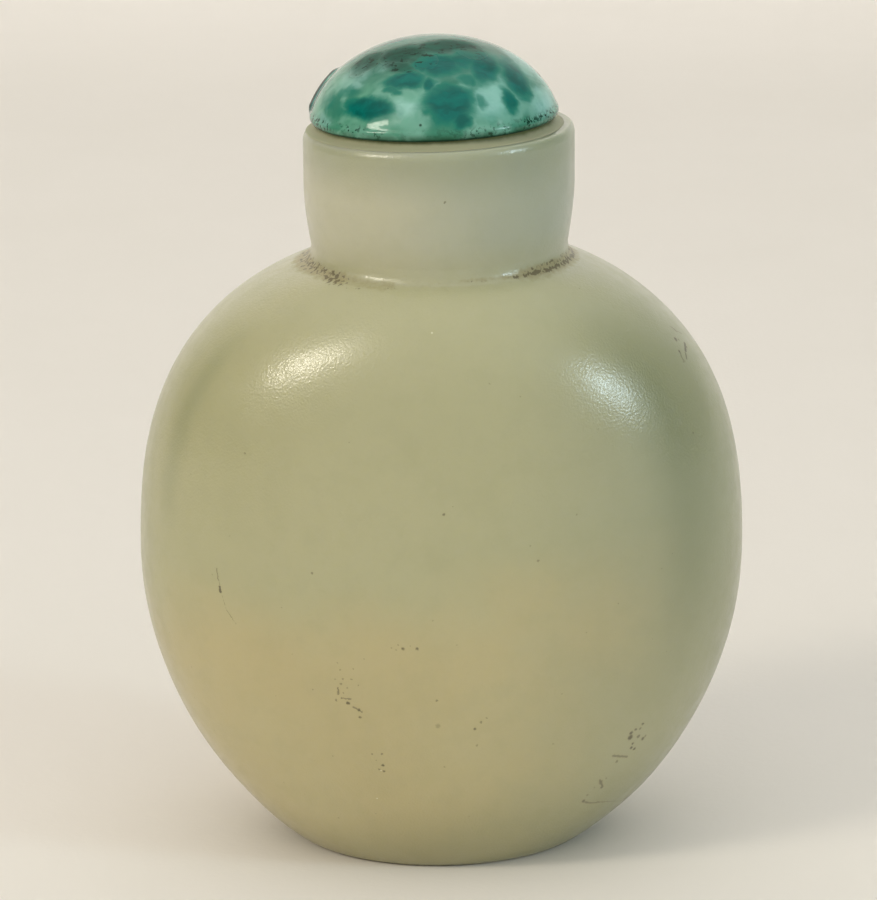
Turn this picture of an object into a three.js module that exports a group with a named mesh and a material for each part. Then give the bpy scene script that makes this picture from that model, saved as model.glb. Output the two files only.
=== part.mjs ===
// A hand-carved jade snuff bottle of flattened oval form, hollowed through its neck, with a domed glass stopper.
// Millimetres, +Z up, the broad faces looking along -Y and +Y. The origin is the middle of the flat foot's underside.
// The bottle is one stone: a stack of oval rings runs up its outside, over the lip, down the bore and round the hollow.
// The stopper is a glass cap on a cork plug. It rests on the lip, which the carver left a little out of level.
import * as THREE from "three";

// The body's outside.
const bodyWidth = 45.8;
const bodyDepth = 31.3;
const widestHeight = 22.9; // the level of the greatest width and depth, above the foot
const crownRise = 23.6; // from that level up to where the oval would close if there were no neck
const keelDrop = 26.4; // from that level down to where it would close if there were no flat foot
const footEdgeRadius = 0.4;
const footOffset = -0.25; // the foot was ground this far off the middle, along X
const footOffsetHeight = 5; // where the body is back on the middle line

// How square each half of the outline is: 2 is an oval, and more is squarer.
const crownFullness = 2.46; // upper half, from the front
const keelFullness = 1.92; // lower half, from the front
const shoulderFullness = 3.6; // upper half, from the side
const heelFullness = 2.35; // lower half, from the side

// The neck and the lip.
const neckBaseDiameter = 19.15;
const neckDiameter = 20.15; // at its widest, which it reaches at neckSwellShare of its height
const neckSwellShare = 0.6;
const neckHeight = 9.95; // from the foot of the neck's fillet to the lip
const filletReach = 0.8; // how far the fillet at the neck's foot spreads over the shoulder
const filletHeight = 1.3;
const lipEdgeWidth = 0.4; // the rounded outer edge of the lip
const lipEdgeHeight = 0.75;
const lipSlantDeg = 1.6; // the lip rises towards +X
const slantStart = 41.5; // the height where the slant begins to grow

// The hollow.
const boreDiameter = 9;
const mouthChamfer = 0.35;
const sideWall = 4.2; // at the narrow sides
const faceWall = 3.6; // at the broad faces
const shoulderWall = 4.6;
const floorThickness = 4.8;

// The stopper.
const capDiameter = 18.6; // at its girdle, the widest line of the glass cap
const capBandDiameter = 18.1; // the low band under the girdle
const capBandHeight = 0.5;
const capBandEdge = 0.12; // the small bevel at the foot of the band
const girdleHeight = 0.9; // above the cap's underside
const domeRise = 5.55; // from the girdle to the top of the dome
const domeSink = 2; // the dome is the top of an oval that would be widest this far below the girdle
const domeFullness = 2.09;
const capOffset = -0.3; // the cap sits this far off the neck's centre, along X
const corkLength = 6.05; // below the cap
const corkClearance = 0.4; // between the cork and the bore, all round
const corkTaper = 0.5; // how much narrower the cork is at its tip
const corkChamfer = 0.4;
const seatGap = 0.3; // between the lip and the cap, and between the cork and the cap

const segments = 72;
const capSegments = 48;
const corkSegments = 32;

const lipSlant = THREE.MathUtils.degToRad(lipSlantDeg);
const neckFootHeight = shoulderHeight(neckBaseDiameter / 2 + filletReach);
const lipHeight = neckFootHeight + neckHeight;

// Half the extent of an oval of this half size at a share of the way to where it closes.
function ovalAt(halfSize, share, fullness) {
  const rest = 1 - Math.pow(Math.min(Math.max(share, 0), 1), fullness);
  return halfSize * Math.pow(rest, 1 / fullness);
}

// The height on the body's upper outline where half its width is this much.
function shoulderHeight(halfWidth) {
  const share = ovalAt(1, halfWidth / (bodyWidth / 2), crownFullness);
  return widestHeight + crownRise * share;
}

// A ring is half its width, half its depth, its height, and where along X its centre is.
// A ring of an oval body at one height.
function bodyRing(body, height) {
  const above = height >= body.widest;
  const reach = above ? body.rise : body.drop;
  const share = Math.abs(height - body.widest) / reach;
  const front = above ? crownFullness : keelFullness;
  const side = above ? shoulderFullness : heelFullness;
  return {
    halfWidth: ovalAt(body.width / 2, share, front),
    halfDepth: ovalAt(body.depth / 2, share, side),
    height,
    centre: 0,
  };
}

// Rings of an oval body from one height to another, closer together where the outline turns inwards.
function bodyRings(body, from, to, count) {
  const angleOf = (height) => {
    const reach = height >= body.widest ? body.rise : body.drop;
    return Math.asin(Math.min(Math.max((height - body.widest) / reach, -1), 1));
  };
  const start = angleOf(from);
  const end = angleOf(to);
  return Array.from({ length: count }, (_, i) => {
    const angle = start + ((end - start) * i) / (count - 1);
    const reach = angle >= 0 ? body.rise : body.drop;
    return bodyRing(body, body.widest + reach * Math.sin(angle));
  });
}

function roundRing(radius, height) {
  return { halfWidth: radius, halfDepth: radius, height, centre: 0 };
}

// A point at share t of the bend from a to b that leaves a towards c.
function bend(a, c, b, t) {
  return (1 - t) * (1 - t) * a + 2 * t * (1 - t) * c + t * t * b;
}

function steps(count) {
  return Array.from({ length: count }, (_, i) => (i + 1) / count);
}

// How far the ring at this height is tilted: not at all in the body, and fully at the lip.
function slantAt(height) {
  return Math.tan(lipSlant) * THREE.MathUtils.smoothstep(height, slantStart, lipHeight);
}

// A closed skin over a stack of rings, closed on the axis at a start height and an end height.
function loft(rings, startHeight, endHeight) {
  const positions = [];
  const indices = [];
  positions.push(0, 0, startHeight);
  for (const ring of rings) {
    for (let i = 0; i < segments; i++) {
      const angle = (2 * Math.PI * i) / segments;
      const x = ring.centre + ring.halfWidth * Math.cos(angle);
      positions.push(x, ring.halfDepth * Math.sin(angle), ring.height + x * slantAt(ring.height));
    }
  }
  positions.push(0, 0, endHeight);
  const at = (ring, i) => 1 + ring * segments + (i % segments);
  const last = rings.length - 1;
  for (let i = 0; i < segments; i++) {
    indices.push(0, at(0, i + 1), at(0, i));
    indices.push(at(last, i), at(last, i + 1), positions.length / 3 - 1);
    for (let ring = 0; ring < last; ring++) {
      indices.push(at(ring, i), at(ring, i + 1), at(ring + 1, i + 1));
      indices.push(at(ring, i), at(ring + 1, i + 1), at(ring + 1, i));
    }
  }
  const geometry = new THREE.BufferGeometry();
  geometry.setAttribute("position", new THREE.Float32BufferAttribute(positions, 3));
  geometry.setIndex(indices);
  geometry.computeVertexNormals();
  return geometry;
}

// The flat foot with its softened edge, and the body up to the neck's fillet.
function outsideRings() {
  const body = { width: bodyWidth, depth: bodyDepth, widest: widestHeight, rise: crownRise, drop: keelDrop };
  const foot = bodyRing(body, 0);
  const above = bodyRing(body, footEdgeRadius);
  const inset = (ring, amount) => ({
    halfWidth: ring.halfWidth - amount,
    halfDepth: ring.halfDepth - amount,
    height: 0,
  });
  const sole = inset(foot, footEdgeRadius);
  const edge = steps(3).slice(0, -1).map((t) => ({
    halfWidth: bend(sole.halfWidth, foot.halfWidth, above.halfWidth, t),
    halfDepth: bend(sole.halfDepth, foot.halfDepth, above.halfDepth, t),
    height: bend(0, 0, footEdgeRadius, t),
  }));
  const lower = bodyRings(body, footEdgeRadius, widestHeight, 12);
  const upper = bodyRings(body, widestHeight, neckFootHeight, 13).slice(1);
  return [sole, ...edge, ...lower, ...upper].map((ring) => ({
    ...ring,
    centre: footOffset * (1 - THREE.MathUtils.smoothstep(ring.height, 0, footOffsetHeight)),
  }));
}

// The fillet at the neck's foot, the gently swelling neck and the lip's rounded edge.
function neckRings(shoulder) {
  const baseRadius = neckBaseDiameter / 2;
  const swell = (neckDiameter - neckBaseDiameter) / 2;
  const baseHeight = neckFootHeight + filletHeight;
  const edgeHeight = lipHeight - lipEdgeHeight;
  const turn = shoulderHeight(baseRadius);
  const fillet = steps(4).map((t) => ({
    halfWidth: bend(shoulder.halfWidth, baseRadius, baseRadius, t),
    halfDepth: bend(shoulder.halfDepth, baseRadius, baseRadius, t),
    height: bend(neckFootHeight, turn, baseHeight, t),
    centre: 0,
  }));
  const wall = steps(5).map((t) => {
    const share = Math.min(t / neckSwellShare, 1);
    return roundRing(baseRadius + swell * Math.sin((share * Math.PI) / 2), baseHeight + (edgeHeight - baseHeight) * t);
  });
  const edge = steps(4).map((t) => {
    const angle = (t * Math.PI) / 2;
    return roundRing(
      neckDiameter / 2 - lipEdgeWidth * (1 - Math.cos(angle)),
      edgeHeight + lipEdgeHeight * Math.sin(angle),
    );
  });
  return [...fillet, ...wall, ...edge];
}

// The mouth, the bore and the hollow, from the lip down to the floor.
function insideRings() {
  const boreRadius = boreDiameter / 2;
  const hollow = {
    width: bodyWidth - 2 * sideWall,
    depth: bodyDepth - 2 * faceWall,
    widest: widestHeight,
    rise: crownRise - shoulderWall,
    drop: widestHeight - floorThickness,
  };
  const boreFoot = widestHeight + hollow.rise * ovalAt(1, boreRadius / (hollow.width / 2), crownFullness);
  const walls = bodyRings(hollow, boreFoot, floorThickness, 18).slice(1, -1);
  return [
    roundRing(boreRadius + mouthChamfer, lipHeight),
    roundRing(boreRadius, lipHeight - mouthChamfer),
    roundRing(boreRadius, boreFoot),
    ...walls,
  ];
}

function bottleGeometry() {
  const outside = outsideRings();
  return loft([...outside, ...neckRings(outside[outside.length - 1]), ...insideRings()], 0, floorThickness);
}

// The cap's half profile, from the middle of its underside round to the top of the dome.
function capGeometry() {
  const bandRadius = capBandDiameter / 2;
  const girdleRadius = capDiameter / 2;
  const profile = [
    new THREE.Vector2(0, 0),
    new THREE.Vector2(bandRadius - capBandEdge, 0),
    new THREE.Vector2(bandRadius, capBandEdge),
    new THREE.Vector2(bandRadius, capBandHeight),
    new THREE.Vector2(girdleRadius, girdleHeight),
  ];
  const reach = domeSink + domeRise;
  const ovalRadius = girdleRadius / ovalAt(1, domeSink / reach, domeFullness);
  const start = Math.asin(domeSink / reach);
  for (const t of steps(10)) {
    const share = Math.sin(start + (Math.PI / 2 - start) * t);
    const height = girdleHeight - domeSink + reach * share;
    profile.push(new THREE.Vector2(ovalAt(ovalRadius, share, domeFullness), height));
  }
  return turned(profile, capSegments);
}

// The cork's half profile, from the middle of its tip up to its flat top.
function corkGeometry() {
  const topRadius = boreDiameter / 2 - corkClearance;
  const tipRadius = topRadius - corkTaper;
  const profile = [
    new THREE.Vector2(0, -corkLength),
    new THREE.Vector2(tipRadius - corkChamfer, -corkLength),
    new THREE.Vector2(tipRadius, corkChamfer - corkLength),
    new THREE.Vector2(topRadius, 0),
    new THREE.Vector2(0, 0),
  ];
  return turned(profile, corkSegments);
}

// A half profile (distance from the axis, height) turned about +Z.
function turned(profile, count) {
  return new THREE.LatheGeometry(profile, count).rotateX(Math.PI / 2);
}

function piece(name, geometry, material) {
  const mesh = new THREE.Mesh(geometry, material);
  mesh.name = name;
  return mesh;
}

const jade = new THREE.MeshStandardMaterial({ color: 0xa9a97f, roughness: 0.3, metalness: 0 });
const glass = new THREE.MeshStandardMaterial({ color: 0x3f8f7b, roughness: 0.12, metalness: 0 });
const cork = new THREE.MeshStandardMaterial({ color: 0xa37b4f, roughness: 0.9, metalness: 0 });

const cap = piece("stopper_cap", capGeometry(), glass);
cap.position.z = seatGap;
const plug = piece("stopper_cork", corkGeometry(), cork);
plug.position.x = -capOffset;

// The stopper stands square on the slanted lip. The cork keeps to the bore's middle.
const stopper = new THREE.Group();
stopper.add(cap, plug);
stopper.position.set(capOffset, 0, lipHeight + capOffset * Math.tan(lipSlant));
stopper.rotation.y = -lipSlant;

const snuffBottle = new THREE.Group();
snuffBottle.add(piece("bottle", bottleGeometry(), jade), stopper);

export default snuffBottle;
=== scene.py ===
"""A carved jade snuff bottle with a glass stopper, on a pale floor. Sizes in mm, in metres for Blender."""
import math
import random

import bpy
from mathutils import Matrix, Vector, kdtree, noise


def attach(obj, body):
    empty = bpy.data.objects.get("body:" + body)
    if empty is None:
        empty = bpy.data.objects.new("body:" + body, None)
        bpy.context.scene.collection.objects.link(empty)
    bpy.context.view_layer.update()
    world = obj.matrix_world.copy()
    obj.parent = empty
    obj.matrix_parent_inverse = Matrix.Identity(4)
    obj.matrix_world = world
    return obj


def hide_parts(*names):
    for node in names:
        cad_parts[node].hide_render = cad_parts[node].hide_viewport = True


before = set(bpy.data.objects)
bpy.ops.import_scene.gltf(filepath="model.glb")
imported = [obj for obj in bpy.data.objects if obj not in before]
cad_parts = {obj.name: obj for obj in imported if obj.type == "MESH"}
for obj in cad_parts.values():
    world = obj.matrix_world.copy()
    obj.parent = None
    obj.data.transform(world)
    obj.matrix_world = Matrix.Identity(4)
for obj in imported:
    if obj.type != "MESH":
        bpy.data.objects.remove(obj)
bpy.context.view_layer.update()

MM = 0.001

# The stone's sizes
BODY_WIDTH = 45.8
BODY_DEPTH = 31.3
WIDEST_HEIGHT = 22.9
CROWN_RISE = 23.6
KEEL_DROP = 26.4
FOOT_EDGE_RADIUS = 0.4
FOOT_OFFSET = -0.25
FOOT_OFFSET_HEIGHT = 5.0
CROWN_FULLNESS = 2.46
KEEL_FULLNESS = 1.92
SHOULDER_FULLNESS = 3.6
HEEL_FULLNESS = 2.35
NECK_BASE_DIAMETER = 19.15
NECK_DIAMETER = 20.15
NECK_SWELL_SHARE = 0.6
NECK_HEIGHT = 9.95
FILLET_REACH = 0.8
FILLET_HEIGHT = 1.3
LIP_EDGE_WIDTH = 0.4
LIP_EDGE_HEIGHT = 0.75
LIP_SLANT = math.radians(1.6)
SLANT_START = 41.5
BORE_DIAMETER = 9.0
MOUTH_CHAMFER = 0.35
SIDE_WALL = 4.2
FACE_WALL = 3.6
SHOULDER_WALL = 4.6
FLOOR_THICKNESS = 4.8
BODY = (BODY_WIDTH, BODY_DEPTH, WIDEST_HEIGHT, CROWN_RISE, KEEL_DROP)
BODY_RING_COUNT = 76
STONE_SEGMENTS = 240

# How far the grinder's unevenness goes in, as a share of the radius, and where it stops below the neck
GRIND_SHARE = 0.0035
GRIND_FOOT = 4.0
GRIND_END = (42.0, 44.5)

# The stopper's sizes, upwards from the lip
CAP_OFFSET = -0.3
SEAT_GAP = 0.005
SEAT_DIAMETER = 17.7
SEAT_SPREAD = 0.72
SEAT_HEIGHT = 0.64
SEAT_TURN = 0.06
RIM_DIAMETER = 18.46
RIM_LEVEL = 1.05
RIM_CURVE = 0.95
GROOVE_LEVEL = 1.42
DOME_DIAMETER = 18.88
DOME_CENTRE = -0.6
DOME_REACH = 7.31
DOME_FULLNESS = 2.03
CORK_LENGTH = 6.05
CORK_CLEARANCE = 0.4
CORK_TAPER = 0.5
CORK_CHAMFER = 0.4
GLASS_SEGMENTS = 384
CORK_SEGMENTS = 96

# A thin dark ridge down the glass's left side, where it swells a little: bearing in degrees and height
RIDGE = [(-196.5, 3.85), (-193.0, 3.3), (-190.5, 2.7), (-188.0, 2.1), (-185.5, 1.65)]
RIDGE_HEIGHT = 0.3
RIDGE_WIDTH = 0.48
RIDGE_DARK = 0.36
RIDGE_SIDE = -4.0


def oval_at(half_size, share, fullness):
    share = min(max(share, 0.0), 1.0)
    return half_size * (1.0 - share ** fullness) ** (1.0 / fullness)


def shoulder_height(half_width):
    return WIDEST_HEIGHT + CROWN_RISE * oval_at(1.0, half_width / (BODY_WIDTH / 2), CROWN_FULLNESS)


NECK_FOOT = shoulder_height(NECK_BASE_DIAMETER / 2 + FILLET_REACH)
LIP_HEIGHT = NECK_FOOT + NECK_HEIGHT


def smooth_step(x, low, high):
    t = min(max((x - low) / (high - low), 0.0), 1.0)
    return t * t * (3 - 2 * t)


def bend(a, c, b, t):
    return (1 - t) ** 2 * a + 2 * t * (1 - t) * c + t * t * b


def steps(count):
    return [(i + 1) / count for i in range(count)]


def body_ring(body, height):
    width, depth, widest, rise, drop = body
    above = height >= widest
    share = abs(height - widest) / (rise if above else drop)
    half_width = oval_at(width / 2, share, CROWN_FULLNESS if above else KEEL_FULLNESS)
    half_depth = oval_at(depth / 2, share, SHOULDER_FULLNESS if above else HEEL_FULLNESS)
    return half_width, half_depth, height


def body_rings(body, start, end, count):
    _, _, widest, rise, drop = body

    def angle_of(height):
        reach = rise if height >= widest else drop
        return math.asin(min(max((height - widest) / reach, -1.0), 1.0))

    a, b = angle_of(start), angle_of(end)
    rings = []
    for i in range(count):
        angle = a + (b - a) * i / (count - 1)
        rings.append(body_ring(body, widest + (rise if angle >= 0 else drop) * math.sin(angle)))
    return rings


def round_ring(radius, height):
    return radius, radius, height


def foot_shift(height):
    """The foot stands a little off the bottle's middle."""
    return FOOT_OFFSET * (1.0 - smooth_step(height, 0.0, FOOT_OFFSET_HEIGHT))


def slant_at(height):
    return math.tan(LIP_SLANT) * smooth_step(height, SLANT_START, LIP_HEIGHT)


def outside_rings():
    foot = body_ring(BODY, 0.0)
    above = body_ring(BODY, FOOT_EDGE_RADIUS)
    sole = (foot[0] - FOOT_EDGE_RADIUS, foot[1] - FOOT_EDGE_RADIUS)
    rings = [(sole[0] * t, sole[1] * t, 0.0) for t in steps(12)]
    for t in steps(6)[:-1]:
        rings.append((bend(sole[0], foot[0], above[0], t), bend(sole[1], foot[1], above[1], t),
                      bend(0.0, 0.0, FOOT_EDGE_RADIUS, t)))
    rings += body_rings(BODY, FOOT_EDGE_RADIUS, WIDEST_HEIGHT, BODY_RING_COUNT)
    rings += body_rings(BODY, WIDEST_HEIGHT, NECK_FOOT, BODY_RING_COUNT)[1:]
    return rings


def neck_rings(shoulder):
    base = NECK_BASE_DIAMETER / 2
    swell = (NECK_DIAMETER - NECK_BASE_DIAMETER) / 2
    base_height = NECK_FOOT + FILLET_HEIGHT
    edge_height = LIP_HEIGHT - LIP_EDGE_HEIGHT
    turn = shoulder_height(base)
    rings = []
    for t in steps(12):
        rings.append((bend(shoulder[0], base, base, t), bend(shoulder[1], base, base, t),
                      bend(NECK_FOOT, turn, base_height, t)))
    for t in steps(24):
        share = min(t / NECK_SWELL_SHARE, 1.0)
        radius = base + swell * math.sin(share * math.pi / 2)
        rings.append(round_ring(radius, base_height + (edge_height - base_height) * t))
    for t in steps(9):
        angle = t * math.pi / 2
        rings.append(round_ring(NECK_DIAMETER / 2 - LIP_EDGE_WIDTH * (1 - math.cos(angle)),
                                edge_height + LIP_EDGE_HEIGHT * math.sin(angle)))
    return rings


def inside_rings():
    bore = BORE_DIAMETER / 2
    lip = NECK_DIAMETER / 2 - LIP_EDGE_WIDTH
    mouth = bore + MOUTH_CHAMFER
    bore_top = LIP_HEIGHT - MOUTH_CHAMFER
    hollow = (BODY_WIDTH - 2 * SIDE_WALL, BODY_DEPTH - 2 * FACE_WALL, WIDEST_HEIGHT,
              CROWN_RISE - SHOULDER_WALL, WIDEST_HEIGHT - FLOOR_THICKNESS)
    bore_foot = WIDEST_HEIGHT + hollow[3] * oval_at(1.0, bore / (hollow[0] / 2), CROWN_FULLNESS)
    rings = [round_ring(lip + (mouth - lip) * t, LIP_HEIGHT) for t in steps(10)]
    rings += [round_ring(mouth - MOUTH_CHAMFER * t, LIP_HEIGHT - MOUTH_CHAMFER * t) for t in steps(3)]
    for t in steps(14):
        rings.append(round_ring(bore, bore_top + (bore_foot - bore_top) * t))
    rings += body_rings(hollow, bore_foot, FLOOR_THICKNESS, 60)[1:-1]
    return rings


def loft_mesh(name, rings, segments, start_height, end_height, place):
    """A closed skin over a stack of rings. place(x, y, z) puts each point where it belongs."""
    points = [place(0.0, 0.0, start_height)]
    for half_width, half_depth, height in rings:
        for i in range(segments):
            angle = 2 * math.pi * i / segments
            points.append(place(half_width * math.cos(angle), half_depth * math.sin(angle), height))
    points.append(place(0.0, 0.0, end_height))
    faces = []
    last = len(rings) - 1

    def at(ring, i):
        return 1 + ring * segments + i % segments

    for i in range(segments):
        faces.append((0, at(0, i + 1), at(0, i)))
        faces.append((at(last, i), at(last, i + 1), len(points) - 1))
        for ring in range(last):
            faces.append((at(ring, i), at(ring, i + 1), at(ring + 1, i + 1), at(ring + 1, i)))
    mesh = bpy.data.meshes.new(name)
    mesh.from_pydata([(x * MM, y * MM, z * MM) for x, y, z in points], [], faces)
    mesh.shade_smooth()
    mesh.update()
    return mesh


def add_piece(name, mesh, node, material):
    piece = bpy.data.objects.new(name, mesh)
    bpy.context.scene.collection.objects.link(piece)
    mesh.materials.append(material)
    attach(piece, "root")
    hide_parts(node)
    return piece


def hand_ground(x, y, z):
    """The grinder's slight unevenness: under a tenth of a mm, always inwards, none on the foot or neck."""
    keep = smooth_step(z, 0.0, GRIND_FOOT) * (1.0 - smooth_step(z, *GRIND_END))
    wave = noise.noise(Vector((x, y, z)) / 11.0) + 0.5 * noise.noise(Vector((x, y, z)) / 5.0)
    shrink = 1.0 - keep * GRIND_SHARE * (0.5 + 0.5 * wave)
    return x * shrink, y * shrink, z


def stone_place(x, y, z):
    return hand_ground(x + foot_shift(z), y, z + x * slant_at(z))


def stopper_place(x, y, z):
    """From the stopper's own frame, standing on the lip, into the bottle's frame."""
    turn = Matrix.Rotation(-LIP_SLANT, 4, "Y")
    place = Matrix.Translation((CAP_OFFSET, 0.0, LIP_HEIGHT + CAP_OFFSET * math.tan(LIP_SLANT)))
    return tuple(place @ turn @ Vector((x, y, z)))


def on_front(x, z):
    """The point of the stone's front at x and z."""
    half_width, half_depth = NECK_DIAMETER / 2, NECK_DIAMETER / 2
    if z < NECK_FOOT:
        half_width, half_depth, _ = body_ring(BODY, z)
    side = min(abs(x) / half_width, 1.0)
    return hand_ground(x, -half_depth * math.sqrt(1.0 - side * side), z)


def dome_point(rise):
    """Radius and height on the dome's profile, from 0 at the groove over the rim to 1 at the top."""
    start = math.asin((GROOVE_LEVEL - DOME_CENTRE) / DOME_REACH)
    share = math.sin(start + (math.pi / 2 - start) * rise)
    return oval_at(DOME_DIAMETER / 2, share, DOME_FULLNESS), DOME_CENTRE + DOME_REACH * share


def rim_radius(height):
    return RIM_DIAMETER / 2 - RIM_CURVE * (height - RIM_LEVEL) ** 2


def cap_rings():
    """Old glue and dirt spread on the lip, the glass's rounded rim over it, a faint groove and the dome."""
    seat = SEAT_DIAMETER / 2
    foot = SEAT_HEIGHT - SEAT_TURN
    under = rim_radius(SEAT_HEIGHT)
    rings = [round_ring((seat + SEAT_SPREAD) * t, 0.0) for t in steps(10)]
    rings += [round_ring(seat + SEAT_SPREAD, SEAT_GAP * t) for t in steps(2)]
    for t in steps(12):
        rings.append(round_ring(seat + SEAT_SPREAD * (1.0 - t) ** 3, SEAT_GAP + (foot - SEAT_GAP) * t))
    for t in steps(4):
        rings.append(round_ring(bend(seat, under, under, t), foot + SEAT_TURN * t))
    for t in steps(18):
        height = SEAT_HEIGHT + (GROOVE_LEVEL - SEAT_HEIGHT) * t
        rings.append(round_ring(rim_radius(height), height))
    rings += [round_ring(*dome_point(t)) for t in steps(70)[:-1]]
    return rings


def on_cap(bearing, height):
    """The point of the glass at a bearing in degrees and a height above the lip."""
    radius = rim_radius(height)
    if height > GROOVE_LEVEL:
        radius = oval_at(DOME_DIAMETER / 2, (height - DOME_CENTRE) / DOME_REACH, DOME_FULLNESS)
    turn = math.radians(bearing)
    return radius * math.cos(turn), radius * math.sin(turn), height


def gap_to_line(point, start, end):
    along = end - start
    share = min(max((point - start).dot(along) / max(along.length_squared, 0.0001), 0.0), 1.0)
    return (start + along * share - point).length


def cap_place(x, y, z):
    """The glass's place on the lip, with the ridge pushed out of it."""
    point = Vector((x, y, z))
    if x < RIDGE_SIDE and z > SEAT_HEIGHT:
        lines = [(Vector(on_cap(*a)), Vector(on_cap(*b))) for a, b in zip(RIDGE, RIDGE[1:])]
        gap = min(gap_to_line(point, start, end) for start, end in lines)
        point += point.normalized() * RIDGE_HEIGHT * math.exp(-(gap / RIDGE_WIDTH) ** 2)
    return stopper_place(point.x, point.y, point.z + SEAT_GAP)


def cork_rings():
    top = BORE_DIAMETER / 2 - CORK_CLEARANCE
    tip = top - CORK_TAPER
    rings = [round_ring((tip - CORK_CHAMFER) * t, -CORK_LENGTH) for t in steps(5)]
    rings += [round_ring(tip - CORK_CHAMFER * (1 - math.sin(t * math.pi / 2)),
                         -CORK_LENGTH + CORK_CHAMFER * (1 - math.cos(t * math.pi / 2))) for t in steps(6)]
    side = CORK_LENGTH - CORK_CHAMFER
    rings += [round_ring(tip + (top - tip) * t, side * (t - 1)) for t in steps(20)]
    rings += [round_ring(top * (1 - t), 0.0) for t in steps(5)[:-1]]
    return rings


class Nodes:
    """A small builder of one material's node tree. Inputs may be sockets or plain values."""

    def __init__(self, name):
        self.material = bpy.data.materials.new(name)
        self.material.use_nodes = True
        self.tree = self.material.node_tree
        self.shader = self.tree.nodes["Principled BSDF"]
        place = self.tree.nodes.new("ShaderNodeTexCoord").outputs["Object"]
        self.mm = self.vector("SCALE", place, scale=1000.0)

    def put(self, socket, value):
        if isinstance(value, bpy.types.NodeSocket):
            self.tree.links.new(value, socket)
        else:
            socket.default_value = value

    def math(self, operation, a, b=0.0, clamp=False):
        node = self.tree.nodes.new("ShaderNodeMath")
        node.operation = operation
        node.use_clamp = clamp
        self.put(node.inputs[0], a)
        self.put(node.inputs[1], b)
        return node.outputs[0]

    def vector(self, operation, a, b=(0.0, 0.0, 0.0), scale=None):
        node = self.tree.nodes.new("ShaderNodeVectorMath")
        node.operation = operation
        self.put(node.inputs[0], a)
        if scale is None:
            self.put(node.inputs[1], b)
        else:
            self.put(node.inputs["Scale"], scale)
        return node.outputs["Value" if operation in ("DISTANCE", "LENGTH", "DOT_PRODUCT") else "Vector"]

    def split(self, vector):
        node = self.tree.nodes.new("ShaderNodeSeparateXYZ")
        self.put(node.inputs[0], vector)
        return node.outputs

    def local(self, at, location, rotation, scale=(1.0, 1.0, 1.0)):
        """The point as seen from a frame with this place, turn and unit."""
        node = self.tree.nodes.new("ShaderNodeMapping")
        node.vector_type = "TEXTURE"
        self.put(node.inputs["Vector"], at)
        node.inputs["Location"].default_value = location
        node.inputs["Rotation"].default_value = rotation
        node.inputs["Scale"].default_value = scale
        return node.outputs[0]

    def noise(self, size, detail=3.0, roughness=0.5, distortion=0.0, at=None, output="Fac"):
        """Noise whose features are about size mm across."""
        node = self.tree.nodes.new("ShaderNodeTexNoise")
        self.put(node.inputs["Vector"], self.mm if at is None else at)
        self.put(node.inputs["Scale"], 1.0 / size)
        self.put(node.inputs["Detail"], detail)
        self.put(node.inputs["Roughness"], roughness)
        self.put(node.inputs["Distortion"], distortion)
        return node.outputs[output]

    def cells(self, size, at=None, output="Distance"):
        node = self.tree.nodes.new("ShaderNodeTexVoronoi")
        self.put(node.inputs["Vector"], self.mm if at is None else at)
        self.put(node.inputs["Scale"], 1.0 / size)
        return node.outputs[output]

    def ramp(self, value, low, high, start=0.0, end=1.0):
        node = self.tree.nodes.new("ShaderNodeMapRange")
        node.interpolation_type = "SMOOTHSTEP"
        for socket, x in zip(node.inputs, (value, low, high, start, end)):
            self.put(socket, x)
        return node.outputs["Result"]

    def mix(self, share, a, b):
        node = self.tree.nodes.new("ShaderNodeMix")
        node.data_type = "RGBA"
        sockets = [s for s in node.inputs if s.type == "RGBA"]
        self.put(node.inputs[0], share)
        self.put(sockets[0], a)
        self.put(sockets[1], b)
        return next(s for s in node.outputs if s.type == "RGBA")

    def bump(self, height, distance, below=None):
        """height in 0..1 raised by distance mm."""
        node = self.tree.nodes.new("ShaderNodeBump")
        self.put(node.inputs["Distance"], distance * MM)
        self.put(node.inputs["Height"], height)
        if below is not None:
            self.put(node.inputs["Normal"], below)
        return node.outputs["Normal"]

    def attribute(self, name, output="Fac"):
        node = self.tree.nodes.new("ShaderNodeAttribute")
        node.attribute_name = name
        return node.outputs[output]

    def add(self, a, b):
        return self.math("ADD", a, b)

    def times(self, a, b):
        return self.math("MULTIPLY", a, b)

    def most(self, a, b):
        return self.math("MAXIMUM", a, b)

    def centred(self, value, size):
        """A 0..1 value as an offset from -size/2 to size/2."""
        return self.times(self.math("SUBTRACT", value, 0.5), size)


def srgb(red, green, blue):
    def linear(c):
        c /= 255.0
        return c / 12.92 if c <= 0.04045 else ((c + 0.055) / 1.055) ** 2.4
    return linear(red), linear(green), linear(blue), 1.0


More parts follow.
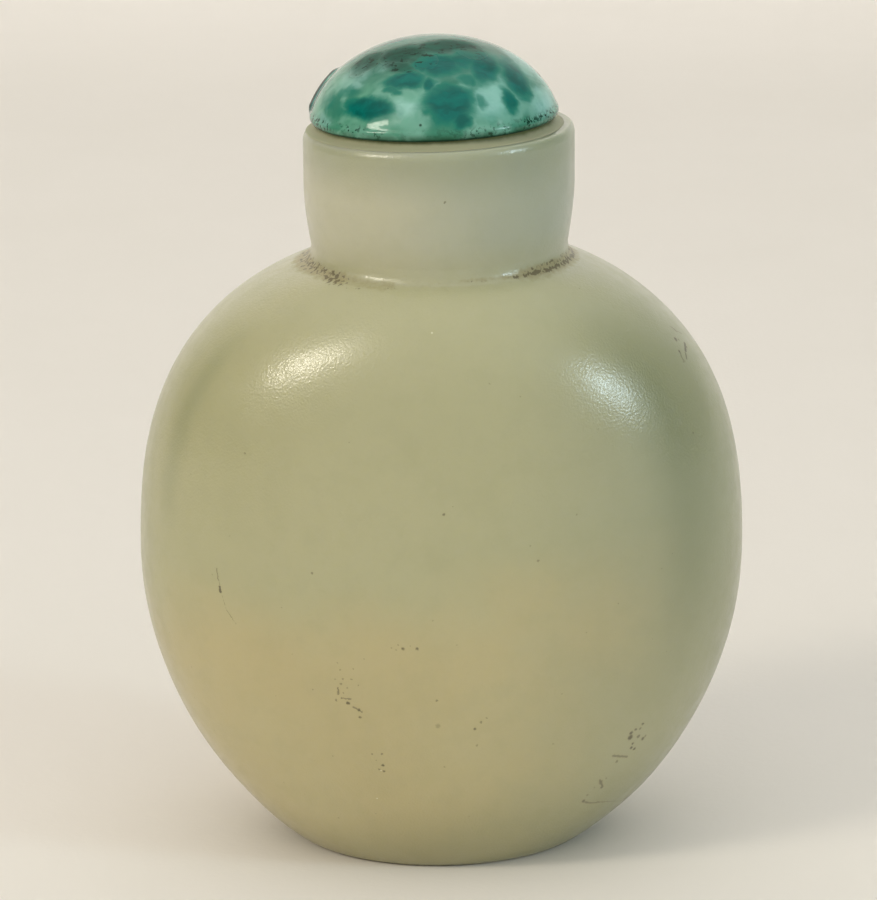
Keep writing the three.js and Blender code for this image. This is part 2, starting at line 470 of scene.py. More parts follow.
# Dark inclusions on the front: x, z and radius in mm, and how dark.
DOTS = [
    (-9.46, 24.82, 0.1, 0.6), (-14.29, 33.21, 0.1, 0.55), (-15.57, 26.86, 0.06, 0.4),
    (0.16, 29.61, 0.1, 0.75), (0.85, 30.2, 0.05, 0.4), (9.85, 29.08, 0.06, 0.4), (11.41, 35.16, 0.06, 0.45),
    (18.62, 33.43, 0.08, 0.45), (21.74, 28.6, 0.08, 0.4), (10.22, 44.14, 0.07, 0.5),
    (7.01, 25.85, 0.1, 0.5), (6.43, 27.03, 0.07, 0.3), (12.93, 21.94, 0.07, 0.45),
    (-9.54, 15.75, 0.07, 0.45), (-8.16, 10.34, 0.06, 0.4), (-0.45, 15.31, 0.1, 0.6),
    (-0.36, 13.27, 0.2, 0.35), (2.5, 11.62, 0.09, 0.45), (0.1, 9.85, 0.06, 0.5), (-0.67, 21.58, 0.06, 0.35),
    (8.16, 11.24, 0.06, 0.4), (0.41, 51.39, 0.09, 0.7), (2.35, 12.97, 0.12, 0.8), (2.8, 13.53, 0.1, 0.6),
    (3.24, 13.84, 0.07, 0.5), (-12.29, 14.84, 0.05, 0.3), (-2.87, 19.4, 0.12, 0.85),
    (-1.85, 19.41, 0.11, 0.8), (-3.74, 19.45, 0.07, 0.5), (-3.23, 19.7, 0.07, 0.5),
    (-2.35, 19.64, 0.06, 0.4), (-3.38, 19.31, 0.06, 0.4), (-7.71, 18.06, 0.06, 0.4),
    (-5.72, 18.51, 0.06, 0.4), (-6.54, 17.67, 0.07, 0.45), (-7.49, 17.52, 0.07, 0.4),
    (-7.87, 16.77, 0.06, 0.4), (-7.28, 16.82, 0.08, 0.5), (-6.7, 16.86, 0.08, 0.5),
    (-7.44, 16.41, 0.09, 0.55), (-6.19, 16.42, 0.07, 0.45), (-7.0, 16.12, 0.07, 0.45),
    (-7.83, 15.08, 0.1, 0.65), (-6.94, 14.91, 0.14, 0.95), (-7.3, 15.69, 0.07, 0.5),
    (-6.14, 14.4, 0.13, 0.95), (-6.08, 13.82, 0.12, 0.85), (-5.24, 10.77, 0.09, 0.65),
    (-4.5, 10.82, 0.09, 0.7), (-4.44, 9.87, 0.13, 0.95), (-4.37, 9.35, 0.1, 0.75), (-4.74, 9.5, 0.08, 0.65),
    (-4.95, 10.27, 0.06, 0.4), (13.98, 10.63, 0.24, 1.0), (14.04, 11.02, 0.17, 0.9),
    (14.38, 11.25, 0.13, 0.75), (14.73, 11.22, 0.12, 0.6), (14.92, 11.57, 0.14, 0.8),
    (14.61, 10.52, 0.16, 0.7), (14.96, 10.22, 0.18, 0.85), (15.16, 10.4, 0.11, 0.6),
    (14.17, 9.98, 0.12, 0.85), (14.08, 9.6, 0.14, 0.95), (14.33, 9.46, 0.14, 0.95), (13.0, 8.66, 0.15, 0.6),
    (11.8, 7.05, 0.16, 0.75), (11.9, 6.46, 0.14, 0.75), (12.21, 7.27, 0.09, 0.5), (11.34, 6.6, 0.09, 0.35),
    (10.81, 6.03, 0.11, 0.45), (10.52, 5.47, 0.16, 0.8), (11.56, 4.97, 0.11, 0.7), (17.49, 39.61, 0.2, 1.0),
    (17.74, 39.48, 0.1, 0.6), (18.33, 38.85, 0.12, 0.9), (17.73, 38.87, 0.15, 1.0), (18.0, 38.22, 0.1, 0.5),
]

# Short dark strokes on the front, with a hair crack and a scratch: x and z of both ends, radius, how dark.
STROKES = [
    (-16.58, 24.17, -16.49, 23.41, 0.045, 0.7), (-16.49, 23.41, -16.38, 22.98, 0.035, 0.6),
    (-16.38, 22.84, -16.34, 22.42, 0.09, 1.0), (-16.26, 22.27, -16.08, 21.74, 0.022, 0.5),
    (-16.08, 21.74, -15.9, 21.1, 0.024, 0.5), (-15.9, 21.1, -15.18, 20.15, 0.028, 0.55),
    (-7.66, 16.07, -7.67, 15.58, 0.07, 0.7), (-7.45, 15.27, -6.72, 15.25, 0.06, 0.65),
    (-6.58, 14.61, -5.92, 14.25, 0.06, 0.65), (12.71, 9.3, 13.76, 8.88, 0.1, 0.6),
    (11.72, 7.22, 11.97, 6.53, 0.09, 0.7), (10.55, 5.38, 11.09, 5.07, 0.07, 0.6),
    (11.09, 5.07, 11.79, 4.9, 0.055, 0.7), (11.79, 4.9, 12.43, 4.65, 0.045, 0.55),
    (12.43, 4.65, 13.08, 4.3, 0.04, 0.5), (13.08, 4.3, 13.58, 3.92, 0.035, 0.35),
    (13.74, 3.94, 14.21, 3.81, 0.07, 0.6), (17.2, 40.33, 17.59, 39.95, 0.08, 0.65),
    (17.59, 39.95, 18.05, 39.59, 0.05, 0.4), (18.21, 39.08, 18.22, 38.71, 0.12, 1.0),
    (17.79, 38.75, 17.93, 38.39, 0.07, 0.75), (18.21, 38.58, 18.26, 38.28, 0.09, 0.8),
    (17.93, 38.39, 18.1, 38.21, 0.06, 0.5),
]

# Small pale spots on the front: x, z and radius in mm.
PALE_DOTS = [(-0.59, 42.44, 0.07), (-4.92, 6.87, 0.06), (-4.59, 9.4, 0.05), (14.9, 35.2, 0.05)]


def near_point(n, at, point, radius, soft, strength):
    """strength within radius of a point, fading over soft mm."""
    return n.ramp(n.vector("DISTANCE", at, point), radius, radius + soft, strength, 0.0)


def near_line(n, at, start, end, radius, soft, strength):
    """strength within radius of the line from start to end, fading over soft mm."""
    along = n.vector("SUBTRACT", end, start)
    offset = n.vector("SUBTRACT", at, start)
    length = n.math("MAXIMUM", n.vector("DOT_PRODUCT", along, along), 0.0001)
    share = n.math("DIVIDE", n.vector("DOT_PRODUCT", offset, along), length, clamp=True)
    gap = n.vector("DISTANCE", offset, n.vector("SCALE", along, scale=share))
    return n.ramp(gap, radius, n.add(radius, soft), strength, 0.0)


# Tiny grains all round the body: how wide, how soft and how dark each is
STRAY_SEED = 7
STRAY_COUNT = 70
STRAY_HEIGHTS = (3.0, 43.0)
STRAY_LOOK = (0.02, 0.06, 0.35)

# How many marks a face of the stone can show, and how far off they can lie
MARKS_PER_FACE = 3
MARK_REACH = 0.9


def stray_points():
    """Where a few tiny dark grains lie, all round the body."""
    dice = random.Random(STRAY_SEED)
    points = []
    for _ in range(STRAY_COUNT):
        half_width, half_depth, height = body_ring(BODY, dice.uniform(*STRAY_HEIGHTS))
        turn = dice.uniform(0.0, 2 * math.pi)
        points.append(hand_ground(half_width * math.cos(turn), half_depth * math.sin(turn), height))
    return points


def all_marks():
    """Every dark mark on the stone: both ends, then how wide, how soft and how dark."""
    marks = []
    for x, z, radius, strength in DOTS:
        marks.append((on_front(x, z), on_front(x, z), (radius * 0.45, radius * 0.9, strength)))
    for x, z, end_x, end_z, radius, strength in STROKES:
        marks.append((on_front(x, z), on_front(end_x, end_z), (radius * 0.5, radius * 1.1, strength)))
    marks += [(point, point, STRAY_LOOK) for point in stray_points()]
    return [tuple(Vector(part) for part in mark) for mark in marks]


def place_marks(mesh):
    """Tells each face of the stone which marks lie nearest to it, for the stone's paint to draw."""
    tree = kdtree.KDTree(len(mesh.polygons))
    for face in mesh.polygons:
        tree.insert(face.center / MM, face.index)
    tree.balance()
    near = {}
    for start, end, look in all_marks():
        along = end - start
        for centre, index, _ in tree.find_range(start + along / 2, MARK_REACH + along.length / 2):
            near.setdefault(index, []).append((gap_to_line(centre, start, end) - look[0], start, end, look))
    for marks in near.values():
        marks.sort(key=lambda mark: mark[0])
    for i in range(MARKS_PER_FACE):
        for column, part in enumerate(("start", "end", "look")):
            layer = mesh.attributes.new(f"mark_{part}_{i}", "FLOAT_VECTOR", "FACE")
            for index, marks in near.items():
                if i < len(marks):
                    layer.data[index].vector = marks[i][column + 1]


def inclusions(n):
    """How dark the stone's marks are, drawn with ragged edges from what place_marks wrote."""
    ragged = n.vector("SUBTRACT", n.noise(0.22, 2.0, output="Color"), (0.5, 0.5, 0.5))
    at = n.vector("ADD", n.mm, n.vector("SCALE", ragged, scale=0.22))
    dark = 0.0
    for i in range(MARKS_PER_FACE):
        start, end, look = [n.attribute(f"mark_{part}_{i}", "Vector") for part in ("start", "end", "look")]
        dark = n.most(dark, near_line(n, at, start, end, *n.split(look)))
    return dark


def stone_colour(n):
    """Pale grey green with soft clouds, and painted light and shade: a warm painted glow low in the body,
    painted shade on the right, under the lip and towards the foot, and a cooler neck painted paler on its left.
    """
    x, _, z = n.split(n.mm)
    cloud = n.noise(14.0, 3.0, 0.55)
    mottle = n.noise(2.4, 3.0, 0.6)
    # Painted light: a warm glow in the lower body, as of light coming up through the stone.
    low = n.ramp(n.add(n.add(z, n.times(x, -0.12)), n.centred(cloud, 10.0)), 18.0, 27.0, 1.0, 0.0)
    colour = n.mix(low, srgb(176, 174, 135), srgb(187, 176, 131))
    # Painted shade: the right side greyer and darker, away from the light.
    shaded_right = n.ramp(n.add(x, n.centred(cloud, 14.0)), 2.0, 20.0, 0.0, 0.75)
    colour = n.mix(shaded_right, colour, srgb(151, 154, 124))
    # The neck cooler in tone, with painted light on its left and painted shade on its right.
    neck = n.mix(n.ramp(x, -8.0, 9.0), srgb(192, 191, 170), srgb(156, 165, 150))
    colour = n.mix(n.ramp(z, 44.0, 49.0, 0.0, 0.8), colour, neck)
    # Painted shade: the neck darker and greener towards the lip.
    colour = n.mix(n.ramp(z, 50.5, 54.4, 0.0, 0.5), colour, srgb(132, 142, 112))
    colour = n.mix(n.ramp(cloud, 0.4, 0.7, 0.0, 0.2), colour, srgb(190, 187, 150))
    colour = n.mix(n.ramp(mottle, 0.42, 0.7, 0.0, 0.1), colour, srgb(150, 150, 110))
    # Painted shade: darker towards the foot, reaching higher on the right.
    colour = n.mix(n.ramp(n.add(z, n.times(x, -0.2)), 0.0, 8.0, 0.5, 0.0), colour, srgb(122, 124, 86))
    # A dark band inside the outline: partly the hollow's edge seen through the wall, partly painted shade and
    # painted dark reflection.
    return n.mix(n.times(n.attribute("hollow_edge_and_shade"), 0.6), colour, srgb(126, 133, 98))


def stone_material():
    n = Nodes("celadon_jade")
    colour = stone_colour(n)

    # Brown dirt in the neck's foot and on the lip, with darker grit in it
    dirt = n.attribute("dirt")
    patchy = n.ramp(n.add(dirt, n.centred(n.noise(0.6, 4.0, 0.65), 1.0)), 0.2, 0.9)
    stain = n.times(patchy, n.ramp(dirt, 0.02, 0.3))
    colour = n.mix(n.times(stain, 0.6), colour, srgb(148, 136, 88))
    grit = n.attribute("grit")
    grains = n.ramp(n.add(n.noise(0.32, 2.0, 0.6), n.centred(grit, 0.4)), 0.5, 0.62)
    colour = n.mix(n.times(n.times(grains, n.ramp(grit, 0.05, 0.45)), 0.8), colour, srgb(88, 77, 42))

    colour = n.mix(n.times(inclusions(n), 0.88), colour, srgb(78, 70, 38))
    for x, z, radius in PALE_DOTS:
        pale = near_point(n, n.mm, on_front(x, z), radius * 0.4, radius, 0.8)
        colour = n.mix(pale, colour, srgb(226, 226, 200))
    n.put(n.shader.inputs["Base Color"], colour)

    # A waxy polish with a fine orange peel, duller where it is dirty
    gloss = n.ramp(n.noise(1.2, 3.0, 0.6), 0.3, 0.7, 0.3, 0.4)
    n.put(n.shader.inputs["Roughness"], n.add(gloss, n.times(stain, 0.3)))
    peel = n.bump(n.noise(0.55, 2.0, 0.6), 0.009)
    peel = n.bump(n.noise(0.18, 1.0, 0.5), 0.02, below=peel)
    n.put(n.shader.inputs["Normal"], peel)
    n.put(n.shader.inputs["Coat Normal"], peel)
    n.shader.inputs["IOR"].default_value = 1.6
    n.shader.inputs["Coat Weight"].default_value = 0.45
    n.shader.inputs["Coat Roughness"].default_value = 0.14
    n.shader.inputs["Subsurface Weight"].default_value = 0.7
    n.shader.inputs["Subsurface Radius"].default_value = (1.0, 0.95, 0.6)
    n.shader.inputs["Subsurface Scale"].default_value = 0.0022
    return n.material


# Dark clouds in the glass: bearing round the dome in degrees (-90 is the front), rise from the groove (0)
# to the top (1), half width and half height in mm, tilt in degrees, and how dark.
DARK_CLOUDS = [
    (-125.0, 0.17, 2.06, 0.9, 3.0, 1.0), (-108.0, 0.41, 1.48, 0.72, 6.0, 1.0),
    (-91.0, 0.37, 0.5, 0.67, 0.0, 0.9), (-113.0, 0.32, 0.74, 0.38, -14.0, 0.65),
    (-82.0, 0.21, 1.81, 1.37, 0.0, 1.0), (-77.0, 0.07, 0.81, 0.66, 0.0, 0.9),
    (-83.0, 0.56, 1.46, 1.26, 2.0, 1.0), (-49.0, 0.49, 1.85, 1.07, 44.0, 1.0),
    (-62.0, 0.6, 1.35, 1.03, 21.0, 0.8), (-32.0, 0.33, 1.69, 1.13, 52.0, 0.95),
    (-27.0, 0.48, 1.24, 0.64, 23.0, 0.7), (-48.0, 0.18, 0.66, 1.03, 0.0, 0.8),
    (-64.0, 0.2, 0.4, 0.57, 0.0, 0.5), (-68.0, 0.4, 0.72, 0.57, 20.0, 0.6),
    (-155.0, 0.15, 1.21, 0.63, 14.0, 0.5), (-144.0, 0.26, 1.26, 0.47, 12.0, 0.45),
    (-99.0, 0.55, 0.79, 0.69, -44.0, 0.8),
]

# Pale clouds, in the same terms.
PALE_CLOUDS = [
    (-105.0, 0.19, 1.14, 0.69, -13.0, 1.0), (-149.0, 0.4, 1.4, 1.29, 7.0, 0.7),
    (-22.0, 0.09, 2.45, 1.1, 4.0, 0.8), (-60.0, 0.21, 1.24, 0.97, 27.0, 0.6),
    (-155.0, 0.01, 1.69, 0.51, 8.0, 0.5), (-89.0, 0.35, 0.48, 0.33, 47.0, 0.9),
    (-143.0, 0.32, 1.01, 0.4, 12.0, 0.6), (-1.0, 0.44, 2.01, 1.29, 5.0, 0.6),
    (-128.0, 0.53, 1.04, 0.57, 30.0, 0.5),
]

# Smoky places near the top, where the glass is worn into dark pits, in the same terms.
SMOKE = [
    (-153.0, 0.59, 1.3, 1.57, 20.0, 0.9), (-120.0, 0.74, 1.9, 1.5, 22.0, 1.0),
    (-55.0, 0.81, 2.6, 1.3, -17.0, 1.0), (-114.0, 0.59, 1.3, 0.7, -16.0, 0.9),
    (-94.0, 0.66, 1.2, 1.0, -16.0, 0.8), (-38.0, 0.66, 1.3, 1.3, 0.0, 0.6),
]


def patch(n, at, spot):
    """Distance from a spot's middle on the dome, 1 at its edge."""
    bearing, rise, half_width, half_height, tilt, _ = spot
    radius, height = dome_point(rise)
    higher_radius, higher_height = dome_point(rise + 0.001)
    climb = math.atan2(higher_height - height, radius - higher_radius)
    turn = Matrix.Rotation(math.radians(bearing + 90.0), 3, "Z") @ Matrix.Rotation(climb, 3, "X")
    turn = turn @ Matrix.Rotation(math.radians(tilt), 3, "Z")
    middle = Matrix.Rotation(math.radians(bearing), 3, "Z") @ Vector((radius, 0.0, height))
    depth = 1.5 * max(half_width, half_height)
    return n.vector("LENGTH", n.local(at, middle, turn.to_euler(), (half_width, half_height, depth)))


def clouds(n, at, spots, core, edge):
    """The strongest of the spots at a point: full within core, gone at edge, as shares of a spot's size."""
    total = None
    for spot in spots:
        mask = n.ramp(patch(n, at, spot), core, edge, spot[-1], 0.0)
        total = mask if total is None else n.most(total, mask)
    return total


def glass_colour(n, at, smoke):
    """Mint glass with soft dark teal clouds between pale drifts, and smoky near the top."""
    x, y, z = n.split(at)
    warp = n.vector("SUBTRACT", n.noise(2.0, 2.0, 0.5, at=at, output="Color"), (0.5, 0.5, 0.5))
    fine_warp = n.vector("SUBTRACT", n.noise(0.6, 2.0, 0.5, at=at, output="Color"), (0.5, 0.5, 0.5))
    flow = n.vector("ADD", at, n.vector("SCALE", warp, scale=1.3))
    flow = n.vector("ADD", flow, n.vector("SCALE", fine_warp, scale=0.4))
    cloud = n.noise(2.6, 3.0, 0.55, 0.4, at=n.vector("MULTIPLY", flow, (0.6, 1.0, 1.0)))
    brush = n.noise(0.8, 3.0, 0.6, at=n.vector("MULTIPLY", flow, (0.35, 1.0, 1.0)))
    base = n.mix(n.ramp(x, -6.0, 5.0), srgb(104, 166, 140), srgb(130, 190, 176))
    colour = n.mix(n.ramp(cloud, 0.3, 0.7), base, srgb(54, 126, 106))
    colour = n.mix(n.ramp(z, 1.2, 2.4, 0.6, 0.0), colour, srgb(62, 132, 104))
    colour = n.mix(n.ramp(z, 3.4, 5.6, 0.0, 0.65), colour, srgb(38, 98, 82))
    pale = n.times(clouds(n, flow, PALE_CLOUDS, 0.4, 1.4), n.ramp(brush, 0.15, 0.55))
    colour = n.mix(n.times(pale, 0.85), colour, srgb(160, 208, 200))
    ridge = n.math("ABSOLUTE", n.centred(n.noise(2.8, 2.0, 0.5, 0.3, at=flow), 1.0))
    vein = n.times(n.ramp(ridge, 0.0, 0.13, 1.0, 0.0), n.ramp(cloud, 0.3, 0.65, 0.15, 0.6))
    colour = n.mix(n.times(vein, n.ramp(z, 4.3, 5.3, 1.0, 0.0)), colour, srgb(138, 190, 172))
    smoky = n.mix(n.ramp(brush, 0.35, 0.65), srgb(0, 50, 38), srgb(10, 84, 66))
    colour = n.mix(n.times(smoke, 0.85), colour, smoky)
    front = clouds(n, flow, DARK_CLOUDS, 0.4, 1.75)
    back = n.ramp(n.noise(3.4, 2.0, 0.5, at=flow), 0.46, 0.62)
    dark = n.most(front, n.times(back, n.ramp(y, -2.5, 1.0)))
    dark = n.add(dark, n.centred(brush, 0.45))
    colour = n.mix(n.ramp(dark, 0.1, 0.6, 0.0, 0.85), colour, srgb(20, 120, 102))
    deep = n.mix(n.ramp(brush, 0.3, 0.7), srgb(0, 86, 80), srgb(0, 112, 102))
    return n.mix(n.ramp(dark, 0.45, 0.95), colour, deep)


def glass_marks(n, at, smoke):
    """Where the glass is pitted or dirty: near the top, along the rim and the ridge, and one dot."""
    x, _, z = n.split(at)
    pits = n.ramp(n.noise(0.3, 2.0, 0.6, at=n.vector("MULTIPLY", at, (0.5, 0.7, 1.0))), 0.57, 0.62)
    marks = n.times(pits, n.ramp(smoke, 0.2, 0.7))
    sides = n.ramp(n.math("ABSOLUTE", n.add(x, 0.8)), 1.5, 5.0, 0.25, 1.0)
    patchy = n.ramp(n.noise(1.8, 2.0, at=at), 0.36, 0.56, 0.2, 1.0)
    rim = n.times(n.ramp(z, 1.3, 1.8, 1.0, 0.0), n.times(sides, patchy))
    marks = n.most(marks, n.times(n.ramp(n.noise(0.3, 2.0, 0.6, at=at), 0.52, 0.59), rim))
    for a, b in zip(RIDGE, RIDGE[1:]):
        marks = n.most(marks, near_line(n, at, on_cap(*a), on_cap(*b), RIDGE_DARK, 0.12, 1.0))
    return n.most(marks, near_point(n, at, on_cap(-96.2, 1.85), 0.05, 0.1, 0.9))


def glass_material():
    """Marbled glass on a spread of brown glue and dirt, with painted shade on the glue under the glass."""
    n = Nodes("marbled_glass")
    at = n.local(n.mm, stopper_place(0.0, 0.0, SEAT_GAP), (0.0, -LIP_SLANT, 0.0))
    x, _, z = n.split(at)
    drift = n.vector("SCALE", n.noise(1.2, 2.0, at=at, output="Color"), scale=0.8)
    smoke = clouds(n, n.vector("ADD", at, drift), SMOKE, 0.5, 1.5)
    marks = glass_marks(n, at, smoke)
    colour = n.mix(n.times(marks, 0.92), glass_colour(n, at, smoke), srgb(0, 40, 26))
    low = n.ramp(z, SEAT_HEIGHT + 0.1, SEAT_HEIGHT + 0.75, 1.0, 0.0)
    foot = n.times(low, n.ramp(n.noise(1.4, 3.0, at=at), 0.35, 0.6, 0.1, 0.75))
    colour = n.mix(foot, colour, srgb(28, 76, 50))
    colour = n.mix(n.ramp(z, SEAT_HEIGHT + 0.04, SEAT_HEIGHT + 0.22, 0.9, 0.0), colour, srgb(14, 44, 28))

    # The glue, brown under the glass and the stone's colour where it ends on the lip: brown dirt, with painted
    # shade making it darker towards the glass above.
    glue = n.ramp(z, SEAT_HEIGHT - 0.08, SEAT_HEIGHT - 0.02, 1.0, 0.0)
    brown = n.add(n.ramp(z, 0.08, SEAT_HEIGHT, -0.25, 0.9), n.centred(n.noise(0.9, 3.0, 0.6, at=at), 0.6))
    brown = n.add(brown, n.ramp(x, 0.0, 7.0, 0.0, 0.25))
    colour = n.mix(glue, colour, n.mix(n.ramp(brown, 0.0, 1.0), srgb(165, 167, 136), srgb(92, 100, 60)))
    n.put(n.shader.inputs["Base Color"], colour)
    n.put(n.shader.inputs["Roughness"], n.add(n.add(n.times(smoke, 0.5), n.times(glue, 0.5)), 0.08))
    dents = n.bump(n.noise(2.2, 2.0, at=at), 0.015)
    n.put(n.shader.inputs["Normal"], dents)
    n.shader.inputs["IOR"].default_value = 1.52
    n.shader.inputs["Specular IOR Level"].default_value = 0.22
    n.shader.inputs["Subsurface Weight"].default_value = 0.3
    n.shader.inputs["Subsurface Radius"].default_value = (0.6, 1.0, 0.8)
    n.shader.inputs["Subsurface Scale"].default_value = 0.0004
    return n.material


def cork_material():
    n = Nodes("dry_cork")
    grain = n.noise(0.9, 5.0, 0.65)
    pores = n.ramp(n.cells(0.8), 0.08, 0.22)
    colour = n.mix(n.ramp(grain, 0.35, 0.65), srgb(150, 112, 72), srgb(190, 152, 104))
    n.put(n.shader.inputs["Base Color"], n.mix(pores, srgb(84, 58, 36), colour))
    n.put(n.shader.inputs["Roughness"], n.ramp(grain, 0.3, 0.7, 0.82, 0.96))
    n.put(n.shader.inputs["Normal"], n.bump(n.times(grain, pores), 0.12))
    return n.material


def neck_foot_dirt(bearing, x, y, lean):
    """How much dirt (a brown stain) and grit (dark grains) lie in the neck's foot, by bearing in degrees."""
    out = math.hypot(x, y) - NECK_BASE_DIAMETER / 2 - FILLET_REACH
    offset = lean - NECK_FOOT if lean > NECK_FOOT else -max(out, 0.0)
    left = smooth_step(bearing, -215.0, -185.0) * (1.0 - smooth_step(bearing, -136.0, -126.0))
    end = smooth_step(bearing, -175.0, -140.0)
    tail = smooth_step(bearing, -150.0, -136.0) * (1.0 - smooth_step(bearing, -112.0, -104.0))
    right = smooth_step(bearing, -86.0, -78.0) * (1.0 - smooth_step(bearing, 8.0, 25.0))
    thick = smooth_step(bearing, -66.0, -45.0)

    def band(middle, width):
        return math.exp(-((offset - middle) / width) ** 2)

    stain = max(0.9 * left * band(0.1, 0.85 - 0.4 * end), 0.6 * tail * band(0.1, 0.35),
                right * (0.6 + 0.4 * thick) * band(0.4, 0.2 + 0.3 * thick), 0.3 * band(0.2, 0.4))
    rim_line = left * end * 0.85 * band(-0.05, 0.16)
    tail_line = 0.45 * tail * band(-0.45 + 0.4 * smooth_step(bearing, -140.0, -108.0), 0.1)
    grit = max(0.6 * left * band(0.2, 0.6 - 0.25 * end), rim_line, tail_line,
               right * (0.5 + 0.45 * thick) * band(0.3, 0.08 + 0.09 * thick),
               0.5 * right * thick * band(0.6, 0.35))
    return stain, grit


def hollow_edge_and_shade(x, z):
    """A soft dark band inside the outline, broad on the right and thin on the left, and a faint dark rim:
    partly the hollow's edge seen through the wall, partly painted shade and painted dark reflection.
    """
    inset = body_ring(BODY, min(max(z, 0.0), NECK_FOOT))[0] - abs(x)
    rim = 0.35 * math.exp(-(inset / 1.4) ** 2)
    if x > 0.0:
        middle = SIDE_WALL + 0.2
        reach = 2.3 if inset > middle else 1.7 + 1.3 * (1.0 - smooth_step(z, 28.0, 38.0))
        band = math.exp(-((inset - middle) / reach) ** 2)
        band *= smooth_step(z, 10.0, 28.0) * (1.0 - smooth_step(z, 36.0, 44.0))
    else:
        band = 0.5 * math.exp(-((inset - 2.3) / 0.75) ** 2)
        band *= smooth_step(z, 24.0, 31.0) * (1.0 - smooth_step(z, 38.0, 43.0))
    return max(band, rim)


# The stain that the stopper leaves on the lip, and the height and radius beyond which the neck's dirt lies
STAIN_RADIUS = 9.1
STAIN_WIDTH = 0.45
NECK_DIRT_START = 40.0
NECK_DIRT_RADIUS = 9.0


def mark_bottle(mesh):
    """Three values per point for the stone's paint: dirt, grit, and a dark band that is partly the hollow's
    edge seen through the wall and partly painted shade.
    """
    names = ("dirt", "grit", "hollow_edge_and_shade")
    for name in names:
        mesh.attributes.new(name, "FLOAT", "POINT")
    dirt, grit, edge = [mesh.attributes[name].data for name in names]
    for i, vertex in enumerate(mesh.vertices):
        x, y, z = vertex.co / MM
        radius = math.hypot(x, y)
        lean = z - x * slant_at(z)
        bearing = math.degrees(math.atan2(y, x))
        bearing = bearing - 360.0 if bearing > 140.0 else bearing
        foot_dirt, foot_grit, seat = 0.0, 0.0, 0.0
        if radius > NECK_DIRT_RADIUS and z > NECK_DIRT_START:
            foot_dirt, foot_grit = neck_foot_dirt(bearing, x, y, lean)
        if lean > LIP_HEIGHT - 0.1 and radius > BORE_DIAMETER / 2 + MOUTH_CHAMFER:
            reach = math.hypot(x - CAP_OFFSET, y)
            seat = math.exp(-((reach - STAIN_RADIUS) / STAIN_WIDTH) ** 2)
        dirt[i].value = max(foot_dirt, seat * 0.45)
        grit[i].value = max(foot_grit, seat * 0.4)
        edge[i].value = hollow_edge_and_shade(x, z) if z < NECK_FOOT else 0.0


outside = outside_rings()
stone_rings = outside + neck_rings(outside[-1]) + inside_rings()
bottle_mesh = loft_mesh("bottle_stone", stone_rings, STONE_SEGMENTS, 0.0, FLOOR_THICKNESS, stone_place)
mark_bottle(bottle_mesh)
place_marks(bottle_mesh)
add_piece("stone_bottle", bottle_mesh, "bottle", stone_material())

cap_mesh = loft_mesh("glass_cap", cap_rings(), GLASS_SEGMENTS, 0.0, DOME_CENTRE + DOME_REACH, cap_place)
add_piece("glass_cap", cap_mesh, "stopper_cap", glass_material())

cork_mesh = loft_mesh("cork_plug", cork_rings(), CORK_SEGMENTS, -CORK_LENGTH, 0.0,
                      lambda x, y, z: stopper_place(x - CAP_OFFSET, y, z))
add_piece("cork_plug", cork_mesh, "stopper_cork", cork_material())


# The floor's front edge, where it starts to curve up, the curve's radius, the wall's top and half the width
FLOOR_FRONT = -900.0
FLOOR_BACK = 380.0
SWEEP_RADIUS = 260.0
WALL_TOP = 1100.0
FLOOR_HALF_WIDTH = 700.0


def sweep_mesh():
    """A floor that runs back and curves up into a wall."""
    line = [(FLOOR_FRONT, 0.0), (FLOOR_BACK, 0.0)]
    for t in steps(16):
        angle = math.pi / 2 * t
        line.append((FLOOR_BACK + SWEEP_RADIUS * math.sin(angle), SWEEP_RADIUS * (1 - math.cos(angle))))
    line.append((FLOOR_BACK + SWEEP_RADIUS, WALL_TOP))
    points = [(x * MM, y * MM, z * MM) for y, z in line for x in (-FLOOR_HALF_WIDTH, FLOOR_HALF_WIDTH)]
    faces = [(2 * i, 2 * i + 1, 2 * i + 3, 2 * i + 2) for i in range(len(line) - 1)]
    mesh = bpy.data.meshes.new("sweep")
    mesh.from_pydata(points, [], faces)
    mesh.shade_smooth()
    return mesh


def paper_material():
    n = Nodes("pale_paper")
    tone = n.mix(n.noise(30.0, 4.0, 0.6), srgb(230, 225, 217), srgb(234, 229, 222))
    n.put(n.shader.inputs["Base Color"], tone)
    n.shader.inputs["Roughness"].default_value = 0.8
    n.put(n.shader.inputs["Normal"], n.bump(n.noise(0.6, 3.0), 0.02))
    return n.material


floor = bpy.data.objects.new("sweep", sweep_mesh())
bpy.context.scene.collection.objects.link(floor)
floor.data.materials.append(paper_material())

# Where the lamps aim: the body's upper half, and for the lamp behind it the wall's foot
TARGET = Vector((0.0, 0.0, 28.0)) * MM
WALL_TARGET = Vector((0.0, 640.0, 420.0)) * MM


def softbox(name, bearing, elevation, distance, width, height, watts, colour, roll=0.0, aim=TARGET):
    """A rectangular light; bearing in degrees from the camera's side towards +X, roll about its own axis."""
    data = bpy.data.lights.new(name, "AREA")
    data.shape = "RECTANGLE"
    data.size = width * MM
    data.size_y = height * MM
    data.energy = watts
    data.color = colour
    lamp = bpy.data.objects.new(name, data)
    bpy.context.scene.collection.objects.link(lamp)
    turn, climb = math.radians(bearing), math.radians(elevation)
    direction = Vector((math.sin(turn) * math.cos(climb), -math.cos(turn) * math.cos(climb), math.sin(climb)))
    lamp.location = TARGET + direction * distance * MM
    facing = (aim - lamp.location).to_track_quat("-Z", "Y").to_matrix()
    lamp.rotation_euler = (facing @ Matrix.Rotation(math.radians(roll), 3, "Z")).to_euler()
    return lamp


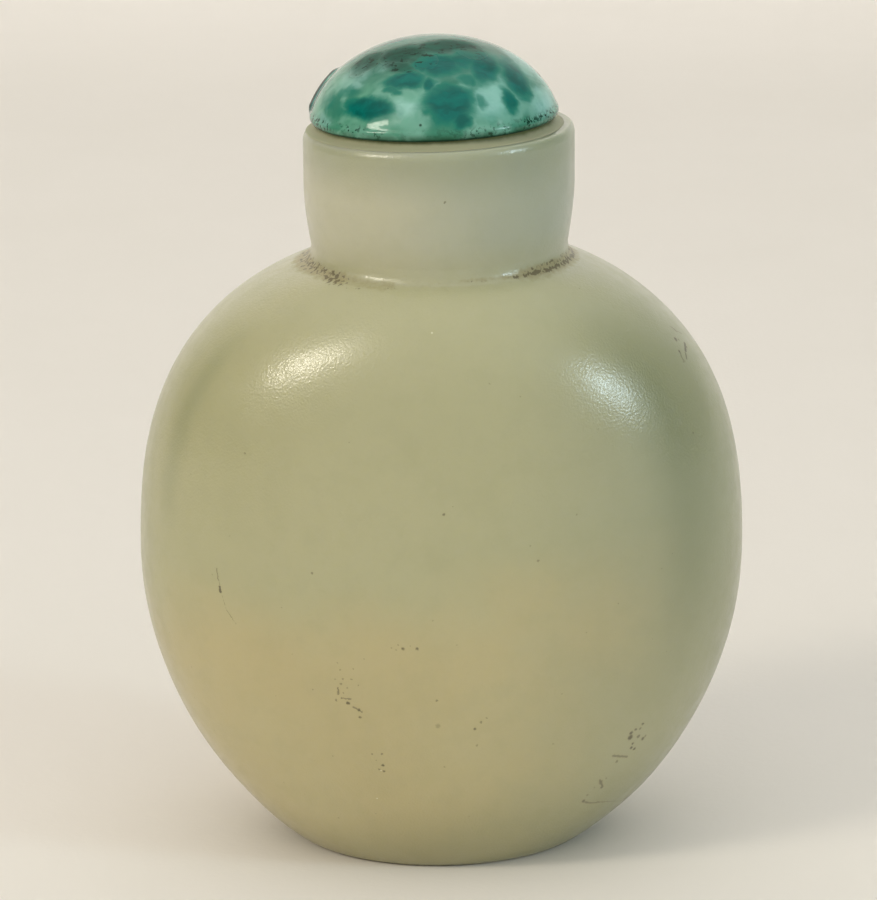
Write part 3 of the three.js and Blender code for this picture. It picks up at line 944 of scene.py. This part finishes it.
softbox("left_window", -59.5, 31.0, 700.0, 235.0, 80.0, 1.15, (1.0, 0.93, 0.79), roll=38.0)
softbox("left_glow", -55.0, 35.5, 720.0, 350.0, 190.0, 0.5, (1.0, 0.93, 0.8), roll=45.0)
softbox("right_window", 65.5, 19.6, 700.0, 95.0, 120.0, 0.6, (0.66, 0.88, 1.0), roll=30.0)
softbox("right_glow", 66.0, 19.0, 720.0, 200.0, 260.0, 0.55, (0.84, 0.97, 1.0), roll=30.0)
softbox("wall_wash", 180.0, 52.0, 520.0, 900.0, 160.0, 1.6, (1.0, 0.99, 0.99), aim=WALL_TARGET)


def studio_world():
    """An even room, brighter above, darker towards its two sides and cooler on the right."""
    world = bpy.data.worlds.new("soft_studio")
    world.use_nodes = True
    tree = world.node_tree
    background = tree.nodes["Background"]
    split = tree.nodes.new("ShaderNodeSeparateXYZ")
    tree.links.new(tree.nodes.new("ShaderNodeTexCoord").outputs["Generated"], split.inputs[0])

    def fade(value, low, high, start, end):
        node = tree.nodes.new("ShaderNodeMapRange")
        node.interpolation_type = "SMOOTHSTEP"
        for socket, x in zip(node.inputs[1:], (low, high, start, end)):
            socket.default_value = x
        tree.links.new(value, node.inputs[0])
        return node.outputs["Result"]

    def join(operation, a, b):
        node = tree.nodes.new("ShaderNodeMath")
        node.operation = operation
        tree.links.new(a, node.inputs[0])
        if b is not None:
            tree.links.new(b, node.inputs[1])
        return node.outputs[0]

    side = fade(join("ABSOLUTE", split.outputs["X"], None), 0.5, 0.9, 0.96, 0.1)
    above = fade(split.outputs["Z"], 0.2, 1.0, 0.72, 1.05)
    tree.links.new(join("MULTIPLY", side, above), background.inputs["Strength"])
    tint = tree.nodes.new("ShaderNodeMix")
    tint.data_type = "RGBA"
    colours = [socket for socket in tint.inputs if socket.type == "RGBA"]
    colours[0].default_value = (1.0, 0.97, 0.925, 1.0)
    colours[1].default_value = (0.95, 0.98, 0.96, 1.0)
    tree.links.new(fade(split.outputs["X"], -0.2, 0.8, 0.0, 1.0), tint.inputs[0])
    tree.links.new(next(out for out in tint.outputs if out.type == "RGBA"), background.inputs["Color"])
    return world


bpy.context.scene.world = studio_world()

# The camera, fitted to the photo: how far it looks down, leans and stands off, and where it aims
ELEVATION = math.radians(15.70)
ROLL = math.radians(0.4)
DISTANCE = 320.0
AIM = Vector((-0.18, 0.0, 30.08))
LENS = 169.25
SENSOR_WIDTH = 36.0
CLIP_START = 10.0

camera = bpy.data.objects.new("camera", bpy.data.cameras.new("camera"))
bpy.context.scene.collection.objects.link(camera)
camera.data.lens = LENS
camera.data.sensor_width = SENSOR_WIDTH
camera.data.clip_start = CLIP_START * MM
camera.location = (AIM + Vector((0.0, -math.cos(ELEVATION), math.sin(ELEVATION))) * DISTANCE) * MM
tilt = Matrix.Rotation(math.pi / 2 - ELEVATION, 4, "X") @ Matrix.Rotation(-ROLL, 4, "Z")
camera.rotation_euler = tilt.to_euler()
bpy.context.scene.camera = camera
bpy.context.scene.view_settings.view_transform = "Standard"

bpy.context.view_layer.update()
